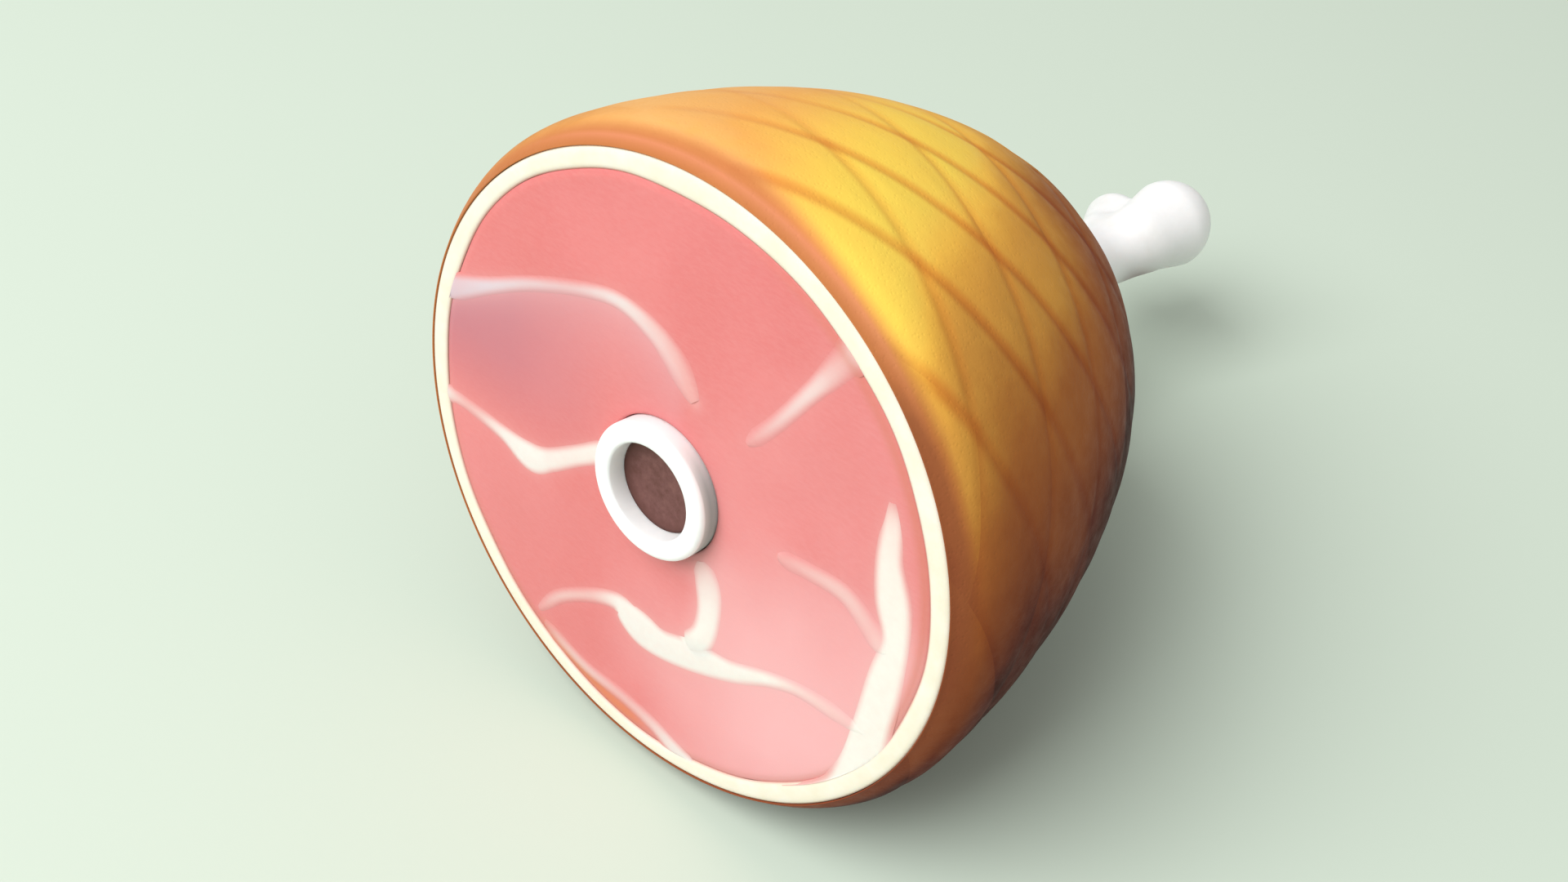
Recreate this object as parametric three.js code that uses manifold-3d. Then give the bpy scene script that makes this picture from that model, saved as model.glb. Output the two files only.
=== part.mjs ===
// A bone-in smoked ham, shank half, lying on its side.
// Millimetres. Each piece is drawn upright round the Y axis, from the cut face at y = 0
// to the shank end at +Y, and the group then lays the ham down on the plane z = 0.

import * as THREE from 'three';
import { mergeVertices } from 'three/addons/utils/BufferGeometryUtils.js';
import Module from 'manifold-3d';

const wasm = await Module();
wasm.setup();

// ---- driving dimensions ----

const gap = 0.3; // between pieces that touch

const girthRadius = 98.3; // the widest part of the ham, at the skin
const girthAt = 14.6; // how far that is behind the cut face
const taperLength = 149.9; // from the widest part to the tip of the shank end
const taperPower = 1.72; // how early the taper starts
const taperFullness = 2.49; // how full the shank end is
const rimDrop = 3.2; // how much narrower the ham is at the cut face
const rimBevel = 2.4; // how far the skin is drawn in to a thin edge at the cut face
const rimBevelLength = 9;

const rindThickness = 2.9;
const fatThickness = 5.2;
const mouthRadius = 27; // the opening in the rind that the bone leaves by
const mouthRound = 1.2;

const restTilt = THREE.MathUtils.degToRad(11); // shank end down
const pressDepth = 4.6; // how far the ham's weight has flattened its underside

const boneFaceHeight = 2.7; // centre of the sawn bone above the ham's axis
const boneProud = 5.5; // how far the sawn end stands out of the meat
const boneRadius = 19.8;
const boneWall = 5.9;
const boneEdgeRound = 2.2;
const canalEdgeRound = 0.6;
const canalDepth = 120;
const canalTipRadius = 8;
const marrowBelowSaw = 5.8;

const shaftEnd = new THREE.Vector3(-0.6, 228, -5.9);
const shaftNeckRadius = 17.8;
const shaftNeckAt = 30;
const shaftWaistRadius = 13.4;
const shaftWaistAt = 120;
const shaftEndRadius = 11.4;

// The two lobes of the knuckle, each a rounded peg from one point to another.
const lobes = [
  { from: [8, 240, 1.8], to: [10, 251.7, 3.8], fromRadius: 13, toRadius: 15.9 },
  { from: [-8.2, 238.7, -3.5], to: [-10.3, 251.5, -4.6], fromRadius: 8.4, toRadius: 11.1 },
];
const knuckleNeck = { from: [-0.6, 222, -5.2], to: [-0.8, 243, -2.2], fromRadius: 11.5, toRadius: 11.8 };

// Fat between the muscles, as it shows on the cut face. Each strand has the x, z of its
// bends, and its half width at its two ends and in the middle.
const seamDepth = 9;
const seams = [
  {
    name: 'top',
    strands: [{ bends: [[-86, 21], [-68, 31], [-36, 46.5], [-8, 48], [8.5, 35]], width: [2.2, 1.4, 0.9] }],
  },
  {
    name: 'left',
    strands: [{ bends: [[-86, -14], [-61, -15], [-50, -17], [-32, -6.5], [-18, 3]], width: [0.8, 2.2, 1.6] }],
  },
  {
    name: 'upper_right',
    strands: [{ bends: [[51, 70], [42.5, 55.5], [34, 40.5], [26, 31]], width: [2.6, 1.2, 0.7] }],
  },
  {
    name: 'lower',
    strands: [
      {
        bends: [[-43, -69.5], [-21, -50], [-8, -47], [6, -49], [32, -40.5], [68, -30.5]],
        width: [0.8, 3, 0.8],
      },
      { bends: [[17, -12.5], [21, -27], [13, -44]], width: [1.4, 2.2, 1.6] },
    ],
  },
  {
    name: 'small_right',
    strands: [{ bends: [[40, 5], [52, 7.5], [62, 7], [70, 3]], width: [0.7, 1.2, 0.7] }],
  },
  {
    name: 'right',
    strands: [{ bends: [[70, 36], [75, 12], [80, -10], [75, -41], [71.5, -54]], width: [1.8, 3.4, 5] }],
  },
  {
    name: 'low_left',
    strands: [{ bends: [[-39, -74], [-21, -79], [-6, -80], [19, -83]], width: [1.2, 1, 0.8] }],
  },
];

// ---- helpers ----

const circleSteps = 64;
const outlineSteps = 15;
const rimSteps = 4;
const boneSteps = 32;
const seamSteps = 14;
const shaftSteps = 10;
const weldDistance = 1e-4;
const farSide = 600; // longer than the ham, for the block that presses it flat
const overshoot = 10; // how far a cutting solid runs past what it cuts
const up = new THREE.Vector3(0, 1, 0);

function solidOf(geometry) {
  const bare = geometry.clone();
  bare.deleteAttribute('normal');
  bare.deleteAttribute('uv');
  const welded = mergeVertices(bare, weldDistance);
  return new wasm.Manifold(new wasm.Mesh({
    numProp: 3,
    vertProperties: new Float32Array(welded.attributes.position.array),
    triVerts: new Uint32Array(welded.index.array),
  }));
}

function geometryOf(solid) {
  const mesh = solid.getMesh();
  const geometry = new THREE.BufferGeometry();
  geometry.setAttribute('position', new THREE.BufferAttribute(new Float32Array(mesh.vertProperties), 3));
  geometry.setIndex(new THREE.BufferAttribute(new Uint32Array(mesh.triVerts), 1));
  geometry.computeVertexNormals();
  return geometry;
}

function turned(points) {
  return solidOf(new THREE.LatheGeometry(points, circleSteps));
}

// Points of a part of a circle, from one angle to another, in the lathe's plane.
function arc(centreR, centreY, radius, fromDegrees, toDegrees, steps = 5) {
  const points = [];
  for (let i = 0; i <= steps; i += 1) {
    const angle = THREE.MathUtils.degToRad(THREE.MathUtils.lerp(fromDegrees, toDegrees, i / steps));
    points.push(new THREE.Vector2(centreR + radius * Math.cos(angle), centreY + radius * Math.sin(angle)));
  }
  return points;
}

// ---- the ham's outline, and the same outline at a depth under the skin ----

function outlineRadius(y, depth) {
  const widest = girthRadius - depth;
  if (y < girthAt) {
    return widest - rimDrop * ((girthAt - y) / girthAt) ** 2;
  }
  const along = (y - girthAt) / (taperLength - depth);
  return widest * Math.max(0, 1 - along ** taperPower) ** (1 / taperFullness);
}

function outlineTip(depth) {
  return girthAt + taperLength - depth;
}

// Where the outline has shrunk to a radius, found from the taper's own formula.
function outlineReaches(radius, depth) {
  const share = 1 - (radius / (girthRadius - depth)) ** taperFullness;
  return girthAt + (taperLength - depth) * share ** (1 / taperPower);
}

// Points along the outline between two places, closer together where it curves in.
function outlinePoints(fromY, toY, depth, steps) {
  const points = [];
  for (let i = 0; i <= steps; i += 1) {
    const y = THREE.MathUtils.lerp(fromY, toY, Math.sin((Math.PI / 2) * (i / steps)));
    points.push(new THREE.Vector2(outlineRadius(y, depth), y));
  }
  return points;
}

// ---- how the ham lies ----

// How low the round ham would reach below its own axis if its weight didn't flatten it.
function lowestPoint() {
  const step = 0.5;
  let lowest = 0;
  for (let y = 0; y < outlineTip(0); y += step) {
    const height = -y * Math.sin(restTilt) - outlineRadius(y, 0) * Math.cos(restTilt);
    lowest = Math.min(lowest, height);
  }
  return lowest;
}

const ham = new THREE.Group();
ham.rotation.x = -restTilt;
ham.position.z = -lowestPoint() - pressDepth;
ham.updateMatrix();

// Everything below a level above the floor, as a block in the ham's own directions.
function blockBelow(level) {
  const block = new THREE.BoxGeometry(farSide, farSide, farSide);
  block.translate(0, 0, level - farSide / 2);
  block.applyMatrix4(ham.matrix.clone().invert());
  return solidOf(block);
}

function pressedAt(solid, level) {
  return solid.subtract(blockBelow(level));
}

// A solid ham from the face to the tip, taken in by a depth all round and pressed flat.
function wholeBody(depth, startY = 0) {
  const tip = outlineTip(depth);
  const side = outlinePoints(Math.max(startY, 0), tip, depth, outlineSteps);
  side[side.length - 1].x = 0;
  const start = new THREE.Vector2(0, startY);
  const corner = new THREE.Vector2(outlineRadius(0, depth), startY);
  const points = startY < 0 ? [start, corner, ...side] : [start, ...side];
  return pressedAt(turned(points), depth);
}

// ---- bone ----

function boneAxisTurn() {
  const along = shaftEnd.clone().sub(new THREE.Vector3(0, 0, boneFaceHeight)).normalize();
  return new THREE.Quaternion().setFromUnitVectors(up, along);
}

function alongBone(geometry) {
  geometry.applyQuaternion(boneAxisTurn());
  geometry.translate(0, 0, boneFaceHeight);
  return geometry;
}

// The side of the shaft, from the sawn end's full width to the slim end at the knuckle.
function shaftSide(extra) {
  const bends = new THREE.SplineCurve([
    new THREE.Vector2(boneRadius, 0),
    new THREE.Vector2(shaftNeckRadius, shaftNeckAt),
    new THREE.Vector2(shaftWaistRadius, shaftWaistAt),
    new THREE.Vector2(shaftEndRadius, shaftEnd.y),
  ]);
  return bends.getPoints(shaftSteps).map((point) => new THREE.Vector2(point.x + extra, point.y));
}

// The shaft as a plain closed bar, its front squared off, for cutting room for it.
function shaftBar(extra) {
  const points = [
    new THREE.Vector2(0, -boneProud - extra),
    new THREE.Vector2(boneRadius + extra, -boneProud - extra),
    ...shaftSide(extra),
    new THREE.Vector2(0, shaftEnd.y),
  ];
  return solidOf(alongBone(new THREE.LatheGeometry(points, boneSteps)));
}

function canalRadiusAt(y) {
  const open = boneRadius - boneWall;
  return THREE.MathUtils.lerp(open, canalTipRadius, Math.max(0, y) / canalDepth);
}

function sawnShaft() {
  const inner = canalRadiusAt(0);
  const points = [
    new THREE.Vector2(0, canalDepth),
    new THREE.Vector2(canalTipRadius, canalDepth),
    new THREE.Vector2(inner, 0),
    ...arc(inner + canalEdgeRound, -boneProud + canalEdgeRound, canalEdgeRound, 180, 270, 3),
    ...arc(boneRadius - boneEdgeRound, -boneProud + boneEdgeRound, boneEdgeRound, 270, 360, 5),
    ...shaftSide(0),
    new THREE.Vector2(0, shaftEnd.y),
  ];
  return solidOf(alongBone(new THREE.LatheGeometry(points, boneSteps)));
}

// A peg with round ends of two sizes, from one point to another.
function roundedPeg({ from, to, fromRadius, toRadius }) {
  const start = new THREE.Vector3(...from);
  const along = new THREE.Vector3(...to).sub(start);
  const length = along.length();
  const points = [
    ...arc(0, 0, fromRadius, -90, 0, 7),
    ...arc(0, length, toRadius, 0, 90, 7),
  ];
  points[0].x = 0;
  points[points.length - 1].x = 0;
  const peg = new THREE.LatheGeometry(points, boneSteps);
  peg.applyQuaternion(new THREE.Quaternion().setFromUnitVectors(up, along.normalize()));
  peg.translate(start.x, start.y, start.z);
  return solidOf(peg);
}

function legBone() {
  let bone = sawnShaft().add(roundedPeg(knuckleNeck));
  for (const lobe of lobes) {
    bone = bone.add(roundedPeg(lobe));
  }
  return bone;
}

function marrow() {
  const front = marrowBelowSaw - boneProud;
  const back = canalDepth - gap;
  const points = [
    new THREE.Vector2(0, front),
    new THREE.Vector2(canalRadiusAt(front) - gap, front),
    new THREE.Vector2(canalRadiusAt(back) - gap, back),
    new THREE.Vector2(0, back),
  ];
  return solidOf(alongBone(new THREE.LatheGeometry(points, boneSteps)));
}

// ---- rind ----

// The skin thins to its edge at the cut face, along a soft bevel.
function rimPoints() {
  const points = [];
  for (let i = 0; i < rimSteps; i += 1) {
    const y = rimBevelLength * (i / rimSteps);
    const drawnIn = rimBevel * (1 - y / rimBevelLength) ** 2;
    points.push(new THREE.Vector2(outlineRadius(y, 0) - drawnIn, y));
  }
  return points;
}

function rind() {
  const mouthY = outlineReaches(mouthRadius + mouthRound, 0);
  const lipY = mouthY - mouthRound;
  const points = [
    new THREE.Vector2(0, 0),
    ...rimPoints(),
    ...outlinePoints(rimBevelLength, mouthY, 0, outlineSteps),
    ...arc(mouthRadius + mouthRound, lipY, mouthRound, 90, 180, 3),
    new THREE.Vector2(mouthRadius, lipY - rindThickness),
    new THREE.Vector2(0, lipY - rindThickness),
  ];
  const outside = pressedAt(turned(points), 0);
  const mouth = turned([
    new THREE.Vector2(0, 0),
    new THREE.Vector2(mouthRadius, 0),
    new THREE.Vector2(mouthRadius, outlineTip(0) + overshoot),
    new THREE.Vector2(0, outlineTip(0) + overshoot),
  ]);
  return outside.subtract(wholeBody(rindThickness, -overshoot)).subtract(mouth);
}

// ---- fat under the rind ----

function fatLayer() {
  const outerDepth = rindThickness + gap;
  const outside = wholeBody(outerDepth);
  const inside = wholeBody(outerDepth + fatThickness, -overshoot);
  return outside.subtract(inside).subtract(shaftBar(gap));
}

// ---- fat between the muscles ----

// The strand's half width a share of the way along it.
function halfWidth([first, middle, last], share) {
  if (share < 0.5) {
    return THREE.MathUtils.lerp(first, middle, share * 2);
  }
  return THREE.MathUtils.lerp(middle, last, share * 2 - 1);
}

function seamStrand({ bends, width }, extra) {
  const line = new THREE.SplineCurve(bends.map(([x, z]) => new THREE.Vector2(x, z)));
  const sides = [[], []];
  for (let i = 0; i <= seamSteps; i += 1) {
    const share = i / seamSteps;
    const along = line.getTangent(share);
    const pastEnd = extra * (Math.floor(share) - Math.floor(1 - share));
    const point = line.getPoint(share).addScaledVector(along, pastEnd);
    const across = along.clone().rotateAround(new THREE.Vector2(), Math.PI / 2);
    const reach = halfWidth(width, share) + extra;
    sides[0].push(point.clone().addScaledVector(across, reach));
    sides[1].unshift(point.clone().addScaledVector(across, -reach));
  }
  const outline = new THREE.Shape([...sides[0], ...sides[1]]);
  const depth = seamDepth + 2 * extra; // a slot also starts a little in front of the face
  const strand = new THREE.ExtrudeGeometry(outline, { depth, bevelEnabled: false });
  // drawn as seen on the face, then turned so that its depth runs along +Y
  strand.rotateX(Math.PI / 2);
  strand.translate(0, seamDepth + extra, 0);
  return solidOf(strand);
}

function joined(solids) {
  return solids.reduce((all, solid) => all.add(solid));
}

function seamFat({ strands }, extra) {
  return joined(strands.map((strand) => seamStrand(strand, extra)));
}

// ---- lean meat ----

const leanDepth = rindThickness + fatThickness + 2 * gap;

function leanMeat() {
  const slots = joined(seams.map((seam) => seamFat(seam, gap)));
  return wholeBody(leanDepth).subtract(shaftBar(gap)).subtract(slots);
}

function seamFatInMeat(seam) {
  return seamFat(seam, 0).intersect(wholeBody(leanDepth)).subtract(shaftBar(gap));
}

// ---- the finished ham ----

function addPiece(name, solid, colour, roughness) {
  const material = new THREE.MeshStandardMaterial({ color: colour, roughness, metalness: 0 });
  material.name = name;
  const piece = new THREE.Mesh(geometryOf(solid), material);
  piece.name = name;
  ham.add(piece);
}

addPiece('rind', rind(), '#d08a34', 0.45);
addPiece('fat_layer', fatLayer(), '#fdffea', 0.5);
addPiece('lean_meat', leanMeat(), '#f59a97', 0.5);
for (const seam of seams) {
  addPiece(`seam_fat_${seam.name}`, seamFatInMeat(seam), '#fbeeea', 0.5);
}
addPiece('leg_bone', legBone(), '#f8fafa', 0.4);
addPiece('marrow', marrow(), '#805753', 0.7);

// Bring the ham's own middle over the origin.
ham.updateMatrixWorld(true);
const middle = new THREE.Box3().setFromObject(ham, true).getCenter(new THREE.Vector3());
ham.position.x -= middle.x;
ham.position.y -= middle.y;

const smokedHam = new THREE.Group();
smokedHam.add(ham);

export default smokedHam;
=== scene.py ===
import math

import bpy
import numpy as np
from mathutils import Euler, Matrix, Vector


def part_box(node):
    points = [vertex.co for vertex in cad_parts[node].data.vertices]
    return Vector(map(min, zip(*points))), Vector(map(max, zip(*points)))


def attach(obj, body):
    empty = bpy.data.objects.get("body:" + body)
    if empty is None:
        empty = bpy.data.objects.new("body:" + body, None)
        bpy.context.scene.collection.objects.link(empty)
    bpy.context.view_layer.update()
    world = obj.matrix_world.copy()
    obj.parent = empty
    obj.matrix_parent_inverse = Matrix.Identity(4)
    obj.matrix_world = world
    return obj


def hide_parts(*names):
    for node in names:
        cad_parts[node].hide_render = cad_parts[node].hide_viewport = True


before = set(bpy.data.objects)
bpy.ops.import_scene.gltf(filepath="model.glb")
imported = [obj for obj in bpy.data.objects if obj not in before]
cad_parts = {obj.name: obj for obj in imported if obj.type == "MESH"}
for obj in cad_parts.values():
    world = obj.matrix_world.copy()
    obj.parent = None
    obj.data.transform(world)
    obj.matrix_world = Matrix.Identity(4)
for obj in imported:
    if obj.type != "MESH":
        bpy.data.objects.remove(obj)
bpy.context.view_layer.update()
mm = 0.001

# The ham is worked out upright: x across, y from the cut face to the shank, z up the face.
# layDown then tips it on to the board. Angles round it go from x towards z.
hamShape = {
    "girthRadius": 98.3 * mm,  # widest part of the skin
    "girthAt": 14.6 * mm,  # behind the cut face
    "taperLength": 149.9 * mm,
    "taperPower": 1.72,
    "taperFullness": 2.49,
    "rimDrop": 3.2 * mm,
    "rimBevel": 2.4 * mm,  # the skin is drawn in to a thin edge at the cut face
    "rimBevelLength": 9.0 * mm,
    "rindThickness": 2.9 * mm,
    "fatThickness": 5.2 * mm,
    "gap": 0.3 * mm,
    "restTilt": math.radians(11),
    "pressDepth": 4.6 * mm,
    "pressSoftness": 0.5 * mm,  # how gently the flat underside begins
}


def linearColour(hexColour):
    parts = [int(hexColour[i : i + 2], 16) / 255 for i in (1, 3, 5)]
    linear = [c / 12.92 if c <= 0.04045 else ((c + 0.055) / 1.055) ** 2.4 for c in parts]
    return (*linear, 1.0)


# inputs go from a socket's name or number to a value, a socket or a node
def addNode(tree, kind, inputs=None, stops=None, **settings):
    node = tree.nodes.new(kind)
    for name, value in settings.items():
        setattr(node, name, value)
    for key, value in (inputs or {}).items():
        socket = node.inputs[key]
        if isinstance(value, bpy.types.Node):
            value = value.outputs[0]
        if isinstance(value, bpy.types.NodeSocket):
            tree.links.new(value, socket)
        elif isinstance(value, str) and value.startswith("#"):
            socket.default_value = linearColour(value)
        else:
            socket.default_value = value
    if stops:
        elements = node.color_ramp.elements
        while len(elements) < len(stops):
            elements.new(1.0)
        for element, (place, colour) in zip(elements, stops):
            element.position = place
            element.color = linearColour(colour)
    return node


def doMath(tree, operation, *values):
    return addNode(tree, "ShaderNodeMath", dict(enumerate(values)), operation=operation)


def remap(tree, value, fromLow, fromHigh, toLow=0.0, toHigh=1.0, ease="LINEAR"):
    inputs = {"Value": value, "From Min": fromLow, "From Max": fromHigh, "To Min": toLow, "To Max": toHigh}
    return addNode(tree, "ShaderNodeMapRange", inputs, interpolation_type=ease)


def addNoise(tree, place, scale, detail, roughness=0.5):
    inputs = {"Vector": place, "Scale": scale, "Detail": detail, "Roughness": roughness}
    return addNode(tree, "ShaderNodeTexNoise", inputs).outputs[0]


def addRamp(tree, value, stops):
    return addNode(tree, "ShaderNodeValToRGB", {"Fac": value}, stops=stops).outputs[0]


def mixColour(tree, share, first, second, blend="MIX"):
    inputs = {"Factor": share, 6: first, 7: second}
    return addNode(tree, "ShaderNodeMix", inputs, data_type="RGBA", blend_type=blend).outputs[2]


def readNumber(tree, name):
    return addNode(tree, "ShaderNodeAttribute", attribute_name=name).outputs["Fac"]


def addBump(tree, height, strength, distance, over=None):
    inputs = {"Strength": strength, "Distance": distance, "Height": height}
    if over:
        inputs["Normal"] = over
    return addNode(tree, "ShaderNodeBump", inputs)


# sink is how light sinks in: how much of it, how far each of red, green and blue, and the scale
def addSurface(tree, colour, roughness, bump, specular, ior, sink=()):
    inputs = {"Base Color": colour, "Roughness": roughness, "Normal": bump, "IOR": ior}
    inputs["Specular IOR Level"] = specular
    inputs.update(zip(("Subsurface Weight", "Subsurface Radius", "Subsurface Scale"), sink))
    shader = addNode(tree, "ShaderNodeBsdfPrincipled", inputs)
    addNode(tree, "ShaderNodeOutputMaterial", {"Surface": shader})


def newMaterial(name):
    material = bpy.data.materials.new(name)
    material.use_nodes = True
    tree = material.node_tree
    tree.nodes.clear()
    return material, tree, addNode(tree, "ShaderNodeTexCoord").outputs["Object"]


def smoothStep(low, high, value):
    t = np.clip((value - low) / (high - low), 0, 1)
    return t * t * (3 - 2 * t)


# A table in mm, read at a length in metres and given back in metres.
def readTable(table, at):
    return np.interp(at, np.multiply(table[0], mm), np.multiply(table[1], mm))


def roundAngles(columns):
    return np.linspace(0, 2 * math.pi, columns, endpoint=False)


def degreesFrom(middle, degrees):
    return (degrees - middle + 180) % 360 - 180


# A sum of sines round a circle: turns, size in mm and start of each.
def waves(angle, parts):
    return sum(size * mm * np.sin(turns * angle + start) for turns, size, start in parts)


def outlineRadius(y, depth=0.0):
    s = hamShape
    y = np.asarray(y, float)
    widest = s["girthRadius"] - depth
    near = widest - s["rimDrop"] * ((s["girthAt"] - y) / s["girthAt"]) ** 2
    along = np.clip((y - s["girthAt"]) / (s["taperLength"] - depth), 0, 1)
    far = widest * (1 - along ** s["taperPower"]) ** (1 / s["taperFullness"])
    return np.where(y < s["girthAt"], near, far)


# How far along the ham the outline has shrunk to a radius.
def outlineReaches(radius, depth=0.0):
    s = hamShape
    share = 1 - (radius / (s["girthRadius"] - depth)) ** s["taperFullness"]
    return s["girthAt"] + (s["taperLength"] - depth) * share ** (1 / s["taperPower"])


# Radius and y at even steps of length along the outline.
def outlineRun(fromY, toY, depth, count):
    y = fromY + (toY - fromY) * np.sin(np.linspace(0, math.pi / 2, 2000))
    r = outlineRadius(y, depth)
    length = np.concatenate([[0], np.cumsum(np.hypot(np.diff(y), np.diff(r)))])
    even = np.linspace(0, length[-1], count)
    return np.interp(even, length, r), np.interp(even, length, y)


def rimTaper(y):
    return hamShape["rimBevel"] * np.clip(1 - y / hamShape["rimBevelLength"], 0, 1) ** 2


def hamLift():
    y = np.linspace(0, hamShape["girthAt"] + hamShape["taperLength"], 4000)
    tilt = hamShape["restTilt"]
    lowest = (-y * math.sin(tilt) - outlineRadius(y) * math.cos(tilt)).min()
    return -lowest - hamShape["pressDepth"]


def hamForward():
    y = np.linspace(0, 50 * mm, 500)
    tilt = hamShape["restTilt"]
    front = (y * math.cos(tilt) - (outlineRadius(y) - rimTaper(y)) * math.sin(tilt)).min()
    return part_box("rind")[0].y - front


hamAt = Vector((0, hamForward(), hamLift()))


# Ham axes to the board's, with the underside pressed flat at a level above the board.
def layDown(points, pressLevel=None):
    points = np.asarray(points, float)
    tilt = hamShape["restTilt"]
    x = points[..., 0] + hamAt.x
    y = points[..., 1] * math.cos(tilt) + points[..., 2] * math.sin(tilt) + hamAt.y
    z = -points[..., 1] * math.sin(tilt) + points[..., 2] * math.cos(tilt) + hamAt.z
    if pressLevel is not None:
        soft = hamShape["pressSoftness"]
        z = pressLevel + soft * np.logaddexp(0, (z - pressLevel) / soft)
    return np.stack([x, y, z], -1)


# The x and z on the cut face of points that lie on the board's axes.
def standUp(points):
    tilt = hamShape["restTilt"]
    x = points[:, 0] - hamAt.x
    y = points[:, 1] - hamAt.y
    z = points[:, 2] - hamAt.z
    return x, y * math.sin(tilt) + z * math.cos(tilt)


# Rings round the ham's axis, from rows of radius, y and height of the centre. Each of these
# is one number, or one for every column.
def ringsFrom(rows, columns):
    radius, y, centre = (np.array([np.broadcast_to(v, columns) for v in part]) for part in zip(*rows))
    angle = roundAngles(columns)
    return np.stack([radius * np.cos(angle), y, centre + radius * np.sin(angle)], -1)


# Rings round a rounded edge.
def roundedEdge(centreR, centreY, radius, fromDegrees, toDegrees, count):
    turns = np.radians(np.linspace(fromDegrees, toDegrees, count))
    return [(centreR + radius * math.cos(a), centreY + radius * math.sin(a)) for a in turns]


# A skin over rings of points. Its last ring joins the first, or poles close its two ends.
def meshFromRings(name, grid, poles=False, mapAlong=None):
    rows, columns = grid.shape[:2]
    index = np.arange(rows * columns).reshape(rows, columns)
    below = index[:-1] if poles else index
    above = index[1:] if poles else np.roll(index, -1, 0)
    quads = np.stack([below, above, np.roll(above, -1, 1), np.roll(below, -1, 1)], -1).reshape(-1, 4)
    points = grid.reshape(-1, 3)
    faces = quads.tolist()
    if poles:
        points = np.vstack([points, grid[0].mean(0), grid[-1].mean(0)])
        pole = np.full(columns, rows * columns)
        faces += np.stack([pole, index[0], np.roll(index[0], -1)], -1).tolist()
        faces += np.stack([pole + 1, np.roll(index[-1], -1), index[-1]], -1).tolist()
    mesh = bpy.data.meshes.new(name)
    mesh.from_pydata(points.tolist(), [], faces)
    mesh.shade_smooth()
    mesh.validate()
    if mapAlong is not None:
        column = np.tile([0, 0, 1, 1], len(quads)) + np.repeat(np.tile(np.arange(columns), len(below)), 4)
        uv = np.stack([column / columns, np.asarray(mapAlong)[quads.reshape(-1) // columns]], -1)
        mesh.uv_layers.new(name="skinMap").data.foreach_set("uv", uv.astype(np.float32).reshape(-1))
    return mesh


# Stores a number for every point; a pole takes its neighbour's.
def storeNumber(mesh, name, values):
    flat = np.asarray(values, float).reshape(-1)
    padded = np.pad(flat, (0, len(mesh.vertices) - len(flat)), mode="edge")
    layer = mesh.attributes.new(name, "FLOAT", "POINT")
    layer.data.foreach_set("value", padded.astype(np.float32))


def readPoints(mesh):
    points = np.zeros(len(mesh.vertices) * 3, np.float32)
    mesh.vertices.foreach_get("co", points)
    return points.reshape(-1, 3)


def newObject(name, data):
    made = bpy.data.objects.new(name, data)
    bpy.context.scene.collection.objects.link(made)
    return made


def newPiece(name, mesh, material, replaced):
    piece = newObject(name, mesh)
    mesh.materials.clear()
    mesh.materials.append(material)
    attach(piece, "root")
    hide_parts(replaced)
    print(name + ": done")


# A geometry tree with one shape in, one out, and numbers for its modifier to set.
def newGeometryTree(name, labels):
    tree = bpy.data.node_groups.new(name, "GeometryNodeTree")
    face = tree.interface
    face.new_socket(name="Geometry", in_out="INPUT", socket_type="NodeSocketGeometry")
    sockets = [face.new_socket(name=label, in_out="INPUT", socket_type="NodeSocketFloat") for label in labels]
    face.new_socket(name="Geometry", in_out="OUTPUT", socket_type="NodeSocketGeometry")
    return tree, [socket.identifier for socket in sockets]


def endGeometryTree(tree, shape, material):
    real = addNode(tree, "GeometryNodeRealizeInstances", {"Geometry": shape})
    dressed = addNode(tree, "GeometryNodeSetMaterial", {"Geometry": real, "Material": material})
    addNode(tree, "NodeGroupOutput", {"Geometry": dressed})


# What a geometry tree makes of a mesh or curve, as a mesh of its own.
def throughTree(data, name, tree, sockets, values):
    source = newObject(name + "Source", data)
    nodes = source.modifiers.new("nodes", "NODES")
    nodes.node_group = tree
    for socket, value in zip(sockets, values):
        nodes[socket] = value
    bpy.context.view_layer.update()
    evaluated = source.evaluated_get(bpy.context.evaluated_depsgraph_get())
    mesh = bpy.data.meshes.new_from_object(evaluated)
    mesh.name = name
    bpy.data.objects.remove(source)
    return mesh


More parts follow.
